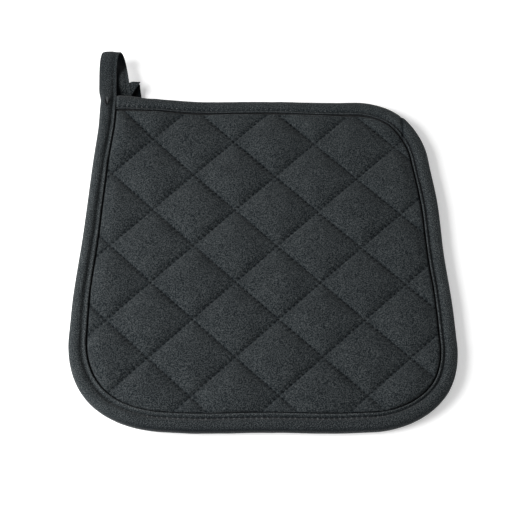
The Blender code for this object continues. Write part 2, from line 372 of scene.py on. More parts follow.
def vector_node(tree, operation, *values):
    links = dict(enumerate(values))
    return add_node(tree, "ShaderNodeVectorMath", links, operation=operation).outputs[0]


def noise_node(tree, vector, scale, detail=2.0, roughness=0.5):
    links = {"Vector": vector, "Scale": scale, "Detail": detail, "Roughness": roughness}
    return add_node(tree, "ShaderNodeTexNoise", links).outputs


def new_material(name):
    """A material, its nodes and its shader's sockets."""
    material = bpy.data.materials.new(name)
    material.use_nodes = True
    tree = material.node_tree
    return material, tree, tree.nodes["Principled BSDF"].inputs


def new_group(name, inputs, outputs):
    """A node group with named number inputs, one vector input and number outputs."""
    group = bpy.data.node_groups.new(name, "ShaderNodeTree")
    group.interface.new_socket("Vector", in_out="INPUT", socket_type="NodeSocketVector")
    number = "NodeSocketFloat"
    for label, value in inputs.items():
        socket = group.interface.new_socket(label, in_out="INPUT", socket_type=number)
        socket.default_value = value
    for label in outputs:
        group.interface.new_socket(label, in_out="OUTPUT", socket_type=number)
    return group, group.nodes.new("NodeGroupInput"), group.nodes.new("NodeGroupOutput")


THREAD_PITCH = 0.00052
THREAD_WANDER = 0.0011  # how far the threads stray from straight, 160 times a metre
GAP_SHARE = 1.6  # the lower it is, the wider the dark gaps between the threads
# What the fibres' specks, slubs and patches add to the tone.
SPECKS, SLUBS, PATCHES = 9.0, 0.9, 0.7


def weave_group():
    """Plain weave: threads that pass over and under each other, from a place in metres."""
    inputs = {"Thread": THREAD_PITCH}
    group, given, result = new_group("Plain weave", inputs, ["Height", "Gap"])
    scale = math_node(group, "DIVIDE", math.pi, given.outputs["Thread"])
    place = given.outputs["Vector"]
    wander = noise_node(group, place, 160.0)["Color"]
    reach = (THREAD_WANDER, THREAD_WANDER, 0.0)
    place = vector_node(group, "MULTIPLY_ADD", wander, reach, place)
    parts = add_node(group, "ShaderNodeSeparateXYZ", {0: place})
    waves = []
    for axis in ("X", "Y"):
        turns = math_node(group, "MULTIPLY", parts.outputs[axis], scale)
        waves.append(math_node(group, "SINE", turns))
    over = math_node(group, "MULTIPLY_ADD", math_node(group, "MULTIPLY", *waves), 0.5, 0.5)
    under = math_node(group, "SUBTRACT", 1.0, over)
    humps = [math_node(group, "ABSOLUTE", wave) for wave in waves]
    warp = math_node(group, "MULTIPLY", humps[0], over)
    weft = math_node(group, "MULTIPLY", humps[1], under)
    height = math_node(group, "MAXIMUM", warp, weft)
    group.links.new(height, result.inputs["Height"])
    filled = math_node(group, "MULTIPLY", height, GAP_SHARE)
    gap = math_node(group, "SUBTRACT", 1.0, filled, clamp=True)
    group.links.new(gap, result.inputs["Gap"])
    return group


def fibre_group():
    """Brushed cotton fibres: fine specks, slubs along both threads, and faint patches."""
    inputs = {"Speck": 1700.0, "Slub": 600.0, "Patch": 90.0}
    group, given, result = new_group("Brushed fibres", inputs, ["Tone", "Fuzz"])
    vector = given.outputs["Vector"]
    specks = noise_node(group, vector, given.outputs["Speck"], roughness=0.7)["Fac"]
    patches = noise_node(group, vector, given.outputs["Patch"], 3.0, 0.6)["Fac"]
    slubs = []
    for stretch in ((1.0, 4.5, 1.0), (4.5, 1.0, 1.0)):
        drawn = vector_node(group, "MULTIPLY", vector, stretch)
        slub = noise_node(group, drawn, given.outputs["Slub"])["Fac"]
        slubs.append(math_node(group, "SUBTRACT", slub, 0.5))
    tone = math_node(group, "SUBTRACT", specks, 0.5)
    tone = math_node(group, "MULTIPLY", tone, SPECKS)
    both = math_node(group, "MULTIPLY", math_node(group, "ADD", *slubs), SLUBS)
    tone = math_node(group, "ADD", tone, both)
    patch = math_node(group, "SUBTRACT", patches, 0.5)
    tone = math_node(group, "MULTIPLY_ADD", patch, PATCHES, tone)
    group.links.new(math_node(group, "ADD", tone, 1.0), result.inputs["Tone"])
    group.links.new(specks, result.inputs["Fuzz"])
    return group


WEAVE = weave_group()
FIBRES = fibre_group()
GAP_DARK = -0.45
DARKEST = 0.2  # the least tone of a fibre
FIBRE_TINT = (0.92, 1.0, 1.01)  # the fibres differ in grey more than in tint
WEAVE_RELIEF = 0.00010
FUZZ_RELIEF = 0.00022


def cotton_material(name, colour, vector, turn, speckle, shade):
    """Matte brushed cotton: weave, fibres and fuzz in colour and relief. vector names the
    coordinates, in metres, turn is the slant of the weave on them, and shade adds the nodes
    for painted light and shade and for wear."""
    material, tree, shader = new_material(name)
    if vector == "Object":
        place = add_node(tree, "ShaderNodeTexCoord").outputs["Object"]
    else:
        place = add_node(tree, "ShaderNodeUVMap", uv_map=vector).outputs["UV"]
    turned = {"Vector": place, "Rotation": (0.0, 0.0, turn)}
    turned = add_node(tree, "ShaderNodeMapping", turned).outputs[0]
    weave = add_node(
        tree, "ShaderNodeGroup", {"Vector": turned, "Thread": THREAD_PITCH}, node_tree=WEAVE
    )
    fibres = add_node(tree, "ShaderNodeGroup", {"Vector": turned}, node_tree=FIBRES)
    tone = math_node(tree, "SUBTRACT", fibres.outputs["Tone"], 1.0)
    tone = math_node(tree, "MULTIPLY_ADD", tone, speckle, 1.0)
    tone = math_node(tree, "MAXIMUM", tone, DARKEST)
    gaps = math_node(tree, "MULTIPLY_ADD", weave.outputs["Gap"], GAP_DARK, 1.0)
    tone = math_node(tree, "MULTIPLY", tone, gaps)
    tone = math_node(tree, "MULTIPLY", tone, shade(tree))
    span = [share * colour[1] for share in FIBRE_TINT]
    least = [mean - step for mean, step in zip(colour, span)]
    tinted = vector_node(tree, "MULTIPLY_ADD", tone, span, least)
    tree.links.new(tinted, shader["Base Color"])
    relief = math_node(tree, "MULTIPLY", weave.outputs["Height"], WEAVE_RELIEF)
    relief = math_node(tree, "MULTIPLY_ADD", fibres.outputs["Fuzz"], FUZZ_RELIEF, relief)
    bump = add_node(tree, "ShaderNodeBump", {"Height": relief, "Distance": 1.0})
    tree.links.new(bump.outputs[0], shader["Normal"])
    shader["Roughness"].default_value = 0.92
    shader["Specular IOR Level"].default_value = 0.15
    shader["Sheen Weight"].default_value = 0.06
    shader["Sheen Roughness"].default_value = 0.45
    return material


# How much darker full painted shade makes the cloth.
SHADE_AND_WEAR_DARK = -0.93
# Painted shade along a seam: how wide its dark line is and how much of that is at full
# strength, how dark it is and how much more so at the needle holes, and the band of painted
# shade in the valley beside it.
SEAM_LINE, SEAM_CORE = 0.0006, 1.25
SEAM_DARK, HOLE_DARK = 0.54, 0.36
VALLEY_SHADE_LINE, VALLEY_SHADE_CORE, VALLEY_SHADE_DARK = 0.0021, 1.6, 0.10


def shade_and_wear(tree):
    """Painted shade where the attribute is above nothing, and paler wear where it is below
    nothing.
    """
    shade_wear = add_node(tree, "ShaderNodeAttribute", attribute_name="ShadeAndWear").outputs["Fac"]
    return math_node(tree, "MULTIPLY_ADD", shade_wear, SHADE_AND_WEAR_DARK, 1.0)


def seam_shade(tree):
    """Painted shade along the seams and in the valleys beside them, darkest at the needle
    holes.
    """
    place = add_node(tree, "ShaderNodeUVMap", uv_map="Quilting").outputs["UV"]
    parts = add_node(tree, "ShaderNodeSeparateXYZ", {0: place})
    shades = []
    for across, along in (("X", "Y"), ("Y", "X")):
        away = math_node(tree, "PINGPONG", parts.outputs[across], 0.5)
        near = math_node(tree, "MULTIPLY_ADD", away, -CELL / SEAM_LINE, SEAM_CORE, clamp=True)
        stitch = math_node(tree, "MULTIPLY", parts.outputs[along], 2 * math.pi * STITCHES)
        hole = math_node(tree, "COSINE", stitch)
        hole = math_node(tree, "MULTIPLY_ADD", hole, HOLE_DARK, SEAM_DARK)
        fall = -CELL / VALLEY_SHADE_LINE
        valley_shade = math_node(tree, "MULTIPLY_ADD", away, fall, VALLEY_SHADE_CORE, clamp=True)
        valley_shade = math_node(tree, "MULTIPLY", valley_shade, VALLEY_SHADE_DARK)
        hole = math_node(tree, "MULTIPLY", near, hole)
        shades.append(math_node(tree, "MAXIMUM", hole, valley_shade))
    seams = math_node(tree, "SUBTRACT", 1.0, math_node(tree, "MAXIMUM", *shades))
    return math_node(tree, "MULTIPLY", seams, shade_and_wear(tree))


PANEL_GREY = (0.0220, 0.0262, 0.0281)

panel_mesh = bmesh.new()
rims = panel_face(panel_mesh, FRONT_STEPS, 1)
rims += panel_face(panel_mesh, BACK_STEPS, -1)
bmesh.ops.bridge_loops(panel_mesh, edges=rims)
bmesh.ops.recalc_face_normals(panel_mesh, faces=panel_mesh.faces)
panel_mesh.loops.layers.uv.verify()
panel_cotton = cotton_material("quilted cotton", PANEL_GREY, "Object", 0.0, 1.12, seam_shade)
panel = finish_piece("quilted_cloth", panel_mesh, panel_cotton)
panel.data.uv_layers[0].name = "Quilting"
# The panel's float attribute is painted shade beside the tape's slot.
panel.data.attributes["Float"].name = "ShadeAndWear"
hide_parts("quilted_panel")

# ------------------------------------------------------------
# Quilting thread: spun polyester a little lighter than the cloth, lock-stitched through
# all the layers, so that the same short stitches show on the front and on the back.

THREAD_GREY = (0.036, 0.040, 0.042)
THREAD_RADIUS = 0.00017
THREAD_LIFT = 0.9  # how far the middle of the thread is above the cloth, in radii
STITCH_SHARE = 0.40  # half a stitch's length, as a share of the pitch
FLATTENED = 1.1  # how much wider than high a pulled stitch is


def thread_material(name, colour):
    """Matt spun thread, its plies unevenly lighter and darker."""
    material, tree, shader = new_material(name)
    place = add_node(tree, "ShaderNodeTexCoord").outputs["Object"]
    ply = noise_node(tree, place, 1500.0)["Fac"]
    tone = math_node(tree, "MULTIPLY_ADD", ply, 1.2, 0.4)
    tree.links.new(vector_node(tree, "MULTIPLY", colour, tone), shader["Base Color"])
    shader["Roughness"].default_value = 0.8
    shader["Specular IOR Level"].default_value = 0.12
    return material


def stitches(starts, ends, ups, radius):
    """A small spindle of thread for each stitch, between two needle holes."""
    mesh = bmesh.new()
    bmesh.ops.create_uvsphere(mesh, u_segments=6, v_segments=5, radius=1.0)
    place = mesh.verts.layers.int.new("place")
    spindle = np.array([tuple(vert.co) for vert in mesh.verts])
    corners = len(spindle)
    for k, vert in enumerate(mesh.verts):
        vert[place] = k
    count = 1
    while count < len(starts):
        copies = bmesh.ops.duplicate(mesh, geom=mesh.verts[:] + mesh.edges[:] + mesh.faces[:])
        for item in copies["geom"]:
            if isinstance(item, bmesh.types.BMVert):
                item[place] += count * corners
        count *= 2
    spare = [vert for vert in mesh.verts if vert[place] >= len(starts) * corners]
    bmesh.ops.delete(mesh, geom=spare, context="VERTS")
    run = ends - starts
    across = np.cross(run, ups)
    across /= np.linalg.norm(across, axis=1)[:, None]
    over = np.cross(across, run)
    over /= np.linalg.norm(over, axis=1)[:, None]
    x, y, z = (spindle[:, k, None] for k in range(3))
    radius = np.broadcast_to(radius, len(starts))[:, None, None]
    spread = over[:, None] * x * radius + across[:, None] * y * radius * FLATTENED
    places = (starts + ends)[:, None] / 2 + spread + run[:, None] * z * STITCH_SHARE
    for vert in mesh.verts:
        vert.co = places[divmod(vert[place], corners)]
    mesh.verts.layers.int.remove(place)
    return mesh


along_seam = np.arange(-5 * STITCHES, 5 * STITCHES + 1) / STITCHES
sewn = []
for side in (1, -1):
    for seam in range(-5, 6):
        for swapped in (False, True):
            across_seam = np.full_like(along_seam, float(seam))
            p, q = (along_seam, across_seam) if swapped else (across_seam, along_seam)
            points = quilt_points(p, q)
            depth, width, _ = inside_edge(points)
            height = middle_height(points) + side * puff(p, q, depth, width, side)
            height = height + side * THREAD_RADIUS * THREAD_LIFT
            holes = np.column_stack((points, height))
            shown = np.minimum(depth[:-1] - width[:-1], depth[1:] - width[1:]) > SLOT
            up = np.tile((0.0, 0.0, float(side)), (len(holes) - 1, 1))
            sewn.append(np.stack((holes[:-1], holes[1:], up), axis=1)[shown])
sewn = np.concatenate(sewn)
quilting_mesh = stitches(sewn[:, 0], sewn[:, 1], sewn[:, 2], THREAD_RADIUS)
thread = thread_material("charcoal thread", THREAD_GREY)
quilting = finish_piece("quilting_stitches", quilting_mesh, thread)

# ------------------------------------------------------------
# Binding tape: one length of folded bias cotton. It starts at the upper left corner, wraps
# the edge clockwise back to that corner, runs on as a flat folded strip, curls over and is
# sewn down behind the corner, and its raw end stands out as a tab.

TAPE_GREY = (0.0208, 0.0248, 0.0266)
# The tape's outer surface from its outer fold to the topstitch, as shares of that way and
# heights in the binding; then its lip, from the stitch to the inner edge.
TUBE = (
    (0.000, 0.0000), (0.004, 0.0006), (0.017, 0.0011), (0.042, 0.0016), (0.083, 0.0021),
    (0.150, 0.0026), (0.240, 0.0030), (0.350, 0.0033), (0.470, 0.00345), (0.580, 0.0035),
    (0.700, 0.00338), (0.800, 0.0031), (0.880, 0.0027), (0.950, 0.0022), (1.000, 0.0017),
)
LIP = (
    (0.12, 0.00174), (0.28, 0.00200), (0.45, 0.00226), (0.62, 0.00246), (0.80, 0.00254),
    (0.91, 0.0024),
)
LIP_EDGE = (0.0020, 0.0013)
# The hollow that holds the panel, as metres in from the inner edge and heights; then at
# the outer fold, as metres from it.
HOLLOW = ((0.0002, 0.0012), (0.0018, 0.0014), (0.0032, 0.0014))
HOLLOW_END = ((0.0019, 0.0014), (0.0014, 0.0011), (0.0012, 0.0004))
CREST = 0.0035
TUCKED_CREST = 0.0016  # at the start, which is pressed flat inside the end that crosses it
TUCK = 0.0052  # from the corner to that start
TUCK_COVER, TUCK_EASE = 0.0020, 0.0014  # how far it stays flat, and over what it swells
FOLD_IN = 0.004  # where the binding takes its height from the panel, in from the outer fold
WALL = 0.00080  # one side of the folded tape
SLIT = 0.00003
TOPSTITCH = 0.0028
# How far a pulled stitch draws the tape down, and how far that reaches, on the outer side of
# the stitch and on the lip.
TUBE_PULL, TUBE_PULLED = 0.00040, 0.0016
LIP_PULL, LIP_PULLED = 0.00032, 0.0008
PULL_FALL = 1.4
# From the topstitch to the inner edge, by degrees clockwise from the upper left corner.
LIP_WIDTHS = (
    (0, 0.0015), (60, 0.0015), (92, 0.0016), (118, 0.0018), (185, 0.0019), (205, 0.0025),
    (245, 0.0026), (268, 0.0028), (315, 0.0028), (345, 0.0024), (360, 0.0022),
)
LOOP_LIP_WIDTH = 0.0021
# A band of painted shade along the tape's outer side, where it turns down: how dark it is by
# the same degrees, and its height and half width.
SIDE_SHADES = (
    (0, 0.0), (145, 0.0), (165, 0.5), (185, 0.6), (235, 0.9), (256, 0.8), (266, 0.3),
    (272, 0.0), (360, 0.0),
)
SIDE_SHADE_UP = 0.0017
SIDE_SHADE_HALF = 0.0010
# Painted light and shade on the tape, by the same degrees, and on the loop, for how light
# falls on each side: above nothing it is painted darker, below nothing paler.
PAINTED_LIGHTS = (
    (0, 0.05), (20, 0.0), (60, 0.0), (90, -0.10), (110, -0.18), (150, -0.18), (175, -0.05),
    (190, 0.04), (240, 0.05), (265, -0.06), (290, -0.16), (340, -0.14), (350, 0.0),
    (360, 0.12),
)
LOOP_PAINTED_SHADE = 0.21
# How dark the painted shade in the topstitch's groove is, by the same degrees, and on the
# loop; below nothing the groove is painted paler.
GROOVE_SHADES = (
    (0, 0.9), (40, 0.7), (90, 0.8), (115, 0.85), (180, 0.85), (200, 1.25), (240, 1.25),
    (262, 0.6), (280, -0.10), (345, -0.10), (360, 0.6),
)
LOOP_GROOVE_SHADE = 0.55
GROOVE_FILL = 1.6  # how much shallower the groove is where it is paler

# Loop: the middle of the strip, from the corner, up and over, down behind the corner to
# where it is sewn, and out again as the tail, close to the solid's.
#     x        y       z    thickness
LOOP = (
    (-0.0873, 0.1036, 0.0092, 0.0030),
    (-0.0875, 0.1105, 0.0100, 0.0018),
    (-0.0877, 0.1180, 0.0110, 0.0016),
    (-0.0874, 0.1246, 0.0128, 0.0015),
    (-0.0866, 0.1298, 0.0122, 0.0015),
    (-0.0854, 0.1320, 0.0091, 0.0015),
    (-0.0840, 0.1303, 0.0063, 0.0015),
    (-0.0830, 0.1262, 0.0060, 0.0015),
    (-0.0820, 0.1212, 0.0075, 0.0015),
    (-0.0810, 0.1155, 0.0086, 0.0015),
    (-0.0800, 0.1095, 0.0074, 0.0015),
    (-0.0791, 0.1040, 0.0043, 0.0015),
    (-0.0785, 0.0985, 0.0034, 0.0015),
    (-0.0779, 0.0935, 0.0031, 0.0014),
    (-0.0771, 0.0917, 0.0022, 0.0013),
    (-0.0763, 0.0935, 0.0013, 0.0014),
    (-0.0750, 0.1020, 0.0013, 0.0015),
    (-0.0742, 0.1070, 0.0024, 0.0015),
    (-0.0736, 0.1135, 0.0042, 0.0015),
)
LOOP_WIDTH = 0.0098
LOOP_STEPS = 12  # points to each row of the table
TAPE_STEP = 0.0007
# Over what the binding eases into the loop's strip, how far past the corner the middle of
# that is, and how far it reaches.
JOIN_BLEND = 0.009
JOIN_MIDDLE, JOIN_REACH = 0.002, 0.014
# The open tail: how wide its upper and lower flaps still are and how far their rims rise,
# by the distance from the cut end; then how the upper flap's rise grows with the distance
# from the outer fold.
# from end  upper share  lower share  upper rise  lower rise
TAIL_FLAPS = (
    (0.0000, 0.97, 0.90, 0.0043, 0.0008),
    (0.0020, 0.85, 0.93, 0.0041, 0.0008),
    (0.0050, 0.65, 1.00, 0.0036, 0.0006),
    (0.0080, 0.50, 1.08, 0.0027, 0.0004),
    (0.0110, 0.46, 1.06, 0.0013, 0.0002),
    (0.0140, 0.60, 1.00, 0.0003, 0.0000),
    (0.0200, 1.00, 1.00, 0.0000, 0.0000),
)
TAIL_RISE = ((0.0, 0.0), (0.0020, 0.25), (0.0032, 0.60), (0.0043, 0.96), (0.0060, 1.0))


def spline(rows, steps):
    """Catmull-Rom points through rows of numbers, steps of them to each row."""
    rows = np.array(rows)
    ends = np.vstack([2 * rows[0] - rows[1], rows, 2 * rows[-1] - rows[-2]])
    points = []
    for a, b, c, d in zip(ends, ends[1:], ends[2:], ends[3:]):
        for t in np.arange(steps) / steps:
            points.append(
                b
                + (c - a) * t / 2
                + (2 * a - 5 * b + 4 * c - d) * t**2 / 2
                + (3 * b - a - 3 * c + d) * t**3 / 2
            )
    return np.array(points + [rows[-1]])


# The columns of the tape's rows that come after the outer fold's place and the way in: the
# width, the half thickness, the lip's width, how much the lip bulges, how dark the painted
# shade along the outer side is, how much painted light and shade the tape has for how light
# falls there, and how dark the painted shade in the topstitch's groove is.
WIDTH, HALF, LIP_ACROSS, BULGE, SIDE_SHADED, PAINTED_LIGHT, GROOVE_SHADED = range(6, 13)


def tape_path():
    """Distances along the whole tape, its rows there, and how far along the corner is."""
    start = int(np.argmax(EDGE[:, 0] > EDGE[0, 0] + TUCK))
    bound = EDGE[start:]
    rows = np.zeros((len(bound), GROOVE_SHADED + 1))
    rows[:, :2] = bound[:, :2]
    rows[:, 2] = middle_height(bound[:, :2] + bound[:, 2:4] * FOLD_IN)
    rows[:, 3:5] = bound[:, 2:4]
    rows[:, WIDTH] = bound[:, 4]
    out = smooth_step((bound[:, 0] - EDGE[0, 0] - TUCK - TUCK_COVER) / TUCK_EASE)
    out[len(out) // 2 :] = 1.0
    rows[:, HALF] = TUCKED_CREST + (CREST - TUCKED_CREST) * out
    rows[:, BULGE] = 1.0
    turn = clockwise(bound)
    tables = {LIP_ACROSS: LIP_WIDTHS, SIDE_SHADED: SIDE_SHADES, PAINTED_LIGHT: PAINTED_LIGHTS, GROOVE_SHADED: GROOVE_SHADES}
    for column, table in tables.items():
        rows[:, column] = between(table, turn)
    middle = spline(LOOP, LOOP_STEPS)
    strip = np.zeros((len(middle), GROOVE_SHADED + 1))
    strip[:, :3] = middle[:, :3] - np.array((LOOP_WIDTH / 2, 0, 0))
    strip[:, 3] = 1.0
    strip[:, WIDTH] = LOOP_WIDTH
    strip[:, HALF] = middle[:, 3] / 2
    strip[:, LIP_ACROSS] = LOOP_LIP_WIDTH
    strip[:, PAINTED_LIGHT] = LOOP_PAINTED_SHADE
    strip[:, GROOVE_SHADED] = LOOP_GROOVE_SHADE
    rows = np.vstack([rows, strip])
    step = np.linalg.norm(np.diff(rows[:, :3], axis=0), axis=1)
    run = np.concatenate([[0], np.cumsum(step)])
    even = np.linspace(0, run[-1], int(run[-1] / TAPE_STEP))
    rows = np.stack([np.interp(even, run, column) for column in rows.T], axis=1)
    return even, rows, run[len(bound) - 1]


tape_run, tape_rows, corner_run = tape_path()
# The strip's width, thickness and slope ease into the binding's at the corner.
window = int(JOIN_BLEND / TAPE_STEP) | 1
kernel = np.hanning(window + 2)[1:-1]
kernel /= kernel.sum()
padded_rows = np.pad(tape_rows, ((window // 2,) * 2, (0, 0)), mode="edge")
eased = np.stack([np.convolve(column, kernel, "valid") for column in padded_rows.T], axis=1)
near_corner = np.clip(1 - np.abs(tape_run - corner_run - JOIN_MIDDLE) / JOIN_REACH, 0, 1)
near_corner = smooth_step(near_corner * 1.5)[:, None]
tape_rows = tape_rows * (1 - near_corner) + eased * near_corner

tape_along = np.gradient(tape_rows[:, :3], axis=0)
tape_in = tape_rows[:, 3:6] / np.linalg.norm(tape_rows[:, 3:6], axis=1)[:, None]
tape_up = np.cross(tape_in, tape_along)
tape_up /= np.linalg.norm(tape_up, axis=1)[:, None]

# The tape's soft ridges, which run slanting along it: their height, their length, and their
# slant and spacing from one row of the tube to the next.
TAPE_ROUGH = 0.00019
RIDGE, RIDGE_SLANT, RIDGE_SPACING = 0.0055, 0.15, 0.7
roughness = {}
for side in (1, -1):
    n = np.arange(len(TUBE))
    slant = tape_run[:, None] / RIDGE + n * RIDGE_SLANT
    roughness[side] = uneven(slant, n * RIDGE_SPACING + side * 9.0, 71)


def tape_half(k, side):
    """One half of the tape's section at row k, as places in and up: its outer surface from
    the outer fold to the inner edge, then its inner surface back round the hollow."""
    width, half, lip_width, bulge, _, _, depth = tape_rows[k, WIDTH:]
    share = half / CREST
    stitch = width - lip_width
    phase = 2 * math.pi * tape_run[k] / TOPSTITCH
    pull = 0.5 * (math.cos(phase) + 0.3) * share**0.5 * (0.4 + 0.6 * bulge)
    pull -= GROOVE_FILL * max(1 - depth, 0.0) * bulge
    outer = []
    for n, (part, up) in enumerate(TUBE):
        near = math.exp(-(((1 - part) * stitch / TUBE_PULLED) ** PULL_FALL))
        rough = TAPE_ROUGH * roughness[side][k, n] * share**0.5 * (n > 2)
        outer.append((part * stitch, up * share - TUBE_PULL * pull * near + rough))
    for part, up in LIP:
        near = math.exp(-((part * lip_width / LIP_PULLED) ** PULL_FALL))
        up = TUBE[-1][1] + (up - TUBE[-1][1]) * bulge
        outer.append((stitch + part * lip_width, up * share - LIP_PULL * pull * near))
    lip_top = TUBE[-1][1] + (LIP[-1][1] - TUBE[-1][1]) * bulge
    for up in LIP_EDGE:
        outer.append((width, min(up, lip_top) * share))
    hollow = max((half - WALL) / (CREST - WALL), 0.0)
    inner = [(width - into, max(up * hollow, SLIT)) for into, up in HOLLOW]
    inner += [(into, max(up * hollow, SLIT)) for into, up in HOLLOW_END]
    outer, inner = np.array(outer), np.array(inner)
    from_end, *flaps = np.array(TAIL_FLAPS).T
    to_end = tape_run[-1] - tape_run[k]
    left, low_left, upper, lower = (np.interp(to_end, from_end, flap) for flap in flaps)
    for points in (outer, inner):
        if side > 0:
            points[:, 0] = points[:, 0] * left
            points[:, 1] += upper * between(TAIL_RISE, points[:, 0])
        else:
            points[:, 1] -= lower * np.maximum(points[:, 0] / width, 0) ** 6
            points[:, 0] = points[:, 0] * low_left
    return outer, inner


def tape_section(k):
    """Both halves of the section as one ring of points."""
    (upper, above), (lower, below) = tape_half(k, 1), tape_half(k, -1)
    flip = np.array((1.0, -1.0))
    return np.vstack([upper, above, below[::-1] * flip, lower[:0:-1] * flip])


def skin(rings, uvs, layer, shades, grooves):
    """A closed surface through rings of points, capped at both ends, with maps of where each
    is on the cloth, how much painted light, shade and wear it has, and where it is from the
    topstitch's groove with how dark the groove's painted shade is there."""
    stations, around = rings.shape[:2]
    mesh = bmesh.new()
    flat = mesh.loops.layers.uv.new(layer)
    mesh.verts.layers.float.new("ShadeAndWear")
    mesh.verts.layers.float_vector.new("Groove")
    shade = mesh.verts.layers.float["ShadeAndWear"]
    groove = mesh.verts.layers.float_vector["Groove"]
    bmesh.ops.create_grid(mesh, x_segments=stations - 1, y_segments=around, size=1.0)
    for vert in mesh.verts:
        i = round((vert.co.x + 1) / 2 * (stations - 1))
        j = round((vert.co.y + 1) / 2 * around)
        for loop in vert.link_loops:
            loop[flat].uv = uvs[i, j]
        vert.co = rings[i, j % around]
        vert[shade] = shades[i, j % around]
        vert[groove] = grooves[i, j % around]
    bmesh.ops.remove_doubles(mesh, verts=mesh.verts, dist=1e-7)
    ends = [edge for edge in mesh.edges if edge.is_boundary]
    bmesh.ops.edgeloop_fill(mesh, edges=ends)
    bmesh.ops.recalc_face_normals(mesh, faces=mesh.faces)
    return mesh


LIP_WEAR = -0.55  # the lip's edge is rubbed paler
FOLD_WEAR = -0.9  # and so is the tail's fold
FOLD_POINTS = slice(2, 7)
LIP_EDGE_SHADE = 0.9  # painted shade: the lip's very edge is dark along the upper side, beside the slot
MOUTH, MOUTH_EASE = 0.016, 0.004  # how deep the tail is open, painted in shade inside and its fold worn paler, and over what that fades
SIDE_SHADE_WITHIN = 0.0025  # the painted shade along the outer side is no further in from the outer fold
# How far across the returning strip painted shade darkens it inside the curl, by the distance
# from the corner along the tape.
CURL_SHADE_REACH = (
    (0.008, 0.0), (0.012, 0.011), (0.043, 0.011), (0.048, 0.0078), (0.054, 0.0048),
    (0.060, 0.0040), (0.066, 0.0044), (0.071, 0.0078), (0.077, 0.0),
)
CURL_SHADE_EASE = 0.0012


def shade_and_wear_at(k, ring):
    """Painted light, shade and wear at each point of the section: 1 is full painted shade, as
    inside the curl and in the open tail, and below nothing is paler.
    """
    reach = between(CURL_SHADE_REACH, tape_run[k] - corner_run)
    mouth = smooth_step((MOUTH - (tape_run[-1] - tape_run[k])) / MOUTH_EASE)
    fold = FOLD_WEAR * mouth * (tape_run[k] > corner_run)
    shade_wear = np.zeros(len(ring))
    # Painted shade in a band along the outer side.
    side_shade = np.exp(-(((ring[: len(TUBE), 1] - SIDE_SHADE_UP) / SIDE_SHADE_HALF) ** 2))
    shade_wear[: len(TUBE)] = side_shade * (ring[: len(TUBE), 0] < SIDE_SHADE_WITHIN) * tape_rows[k, SIDE_SHADED]
    outer = len(TUBE) + len(LIP)
    shade_wear[len(TUBE) + 3 : outer] = LIP_WEAR * tape_rows[k, BULGE]
    # Painted shade on the lip's very edge along the upper side.
    shaded = max(-tape_in[k, 1], 0.0) * tape_rows[k, BULGE]
    shade_wear[outer - 1] += (LIP_EDGE_SHADE - LIP_WEAR) * shaded
    # Painted light and shade on the outer surface, by side and on the loop.
    shade_wear[:outer] += tape_rows[k, PAINTED_LIGHT]
    shade_wear[FOLD_POINTS] += fold
    # Painted shade on the inner surfaces in the open tail, and in full inside the binding's
    # hollow.
    shade_wear[outer : 1 - outer] = mouth
    if tape_run[k] < corner_run:
        shade_wear[outer : 1 - outer] = 1.0
    # Painted shade inside the curl, across part of the returning strip.
    below = slice(1 - outer, None)
    shade_wear[below] = smooth_step((reach - ring[below, 0]) / CURL_SHADE_EASE + 0.5) * (reach > 0)
    return shade_wear


# The bias join in the tape across the upper right corner: how deep and how wide its groove
# is and how dark, where it crosses, how far the upper layer beside it stands up, how long
# the join is, and over what the step rises and fades.
JOIN_DEEP = 0.00055
JOIN_HALF = 0.00080
JOIN_DYE = 1.0
JOIN_AT = (0.0785, 0.0820)
JOIN_STEP = 0.00050
JOIN_LENGTH, JOIN_EASE = 0.016, 0.003
STEP_EASE, STEP_FADE = 0.0009, 0.006


def joined(places, ups):
    """The tape's places with the join's groove and the thicker overlap beside it, and the
    dye kept in the groove."""
    beyond = places[:, 0] - JOIN_AT[0]
    here = smooth_step((JOIN_LENGTH - np.abs(places[:, 1] - JOIN_AT[1])) / JOIN_EASE)
    rise = smooth_step(beyond / STEP_EASE + 0.2) * np.exp(-np.abs(beyond) / STEP_FADE)
    rise = JOIN_STEP * rise
    groove = np.exp(-((beyond / JOIN_HALF) ** 2)) * here
    rise = rise * here - JOIN_DEEP * groove
    return places + ups * rise[:, None], JOIN_DYE * groove


tape_rings, tape_uvs, tape_shade_and_wear, tape_groove = [], [], [], []
outer_count = len(TUBE) + len(LIP)
for k, row in enumerate(tape_rows):
    ring = tape_section(k)
    places = row[:3] + ring[:, :1] * tape_in[k] + ring[:, 1:] * tape_up[k]
    places[:outer_count], marks = joined(places[:outer_count], tape_up[k])
    tape_shade_and_wear.append(shade_and_wear_at(k, ring))
    tape_shade_and_wear[-1][:outer_count] += marks * (tape_run[k] < corner_run)
    tape_rings.append(places)
    steps = np.linalg.norm(np.diff(np.vstack([ring, ring[:1]]), axis=0), axis=1)
    around = np.concatenate([[0], np.cumsum(steps)])
    tape_uvs.append(np.stack([np.full(len(around), tape_run[k]), around], axis=1))
    groove = ring[:, 0] - (row[WIDTH] - row[LIP_ACROSS])
    groove = [np.full(len(ring), tape_run[k]), groove, np.full(len(ring), row[GROOVE_SHADED])]
    tape_groove.append(np.stack(groove, axis=1))
tape_mesh = skin(
    np.array(tape_rings), np.array(tape_uvs), "Tape", np.array(tape_shade_and_wear), np.array(tape_groove)
)


# Painted shade in dashes along the groove: how far out their middle is, how wide they are and
# how much of that is at full strength, how dark they are and how much that changes along a
# stitch.
GROOVE_OUT, GROOVE_HALF, GROOVE_CORE = 0.0001, 0.0011, 1.3
DASH_DARK, DASH_SWING = 0.50, -0.22


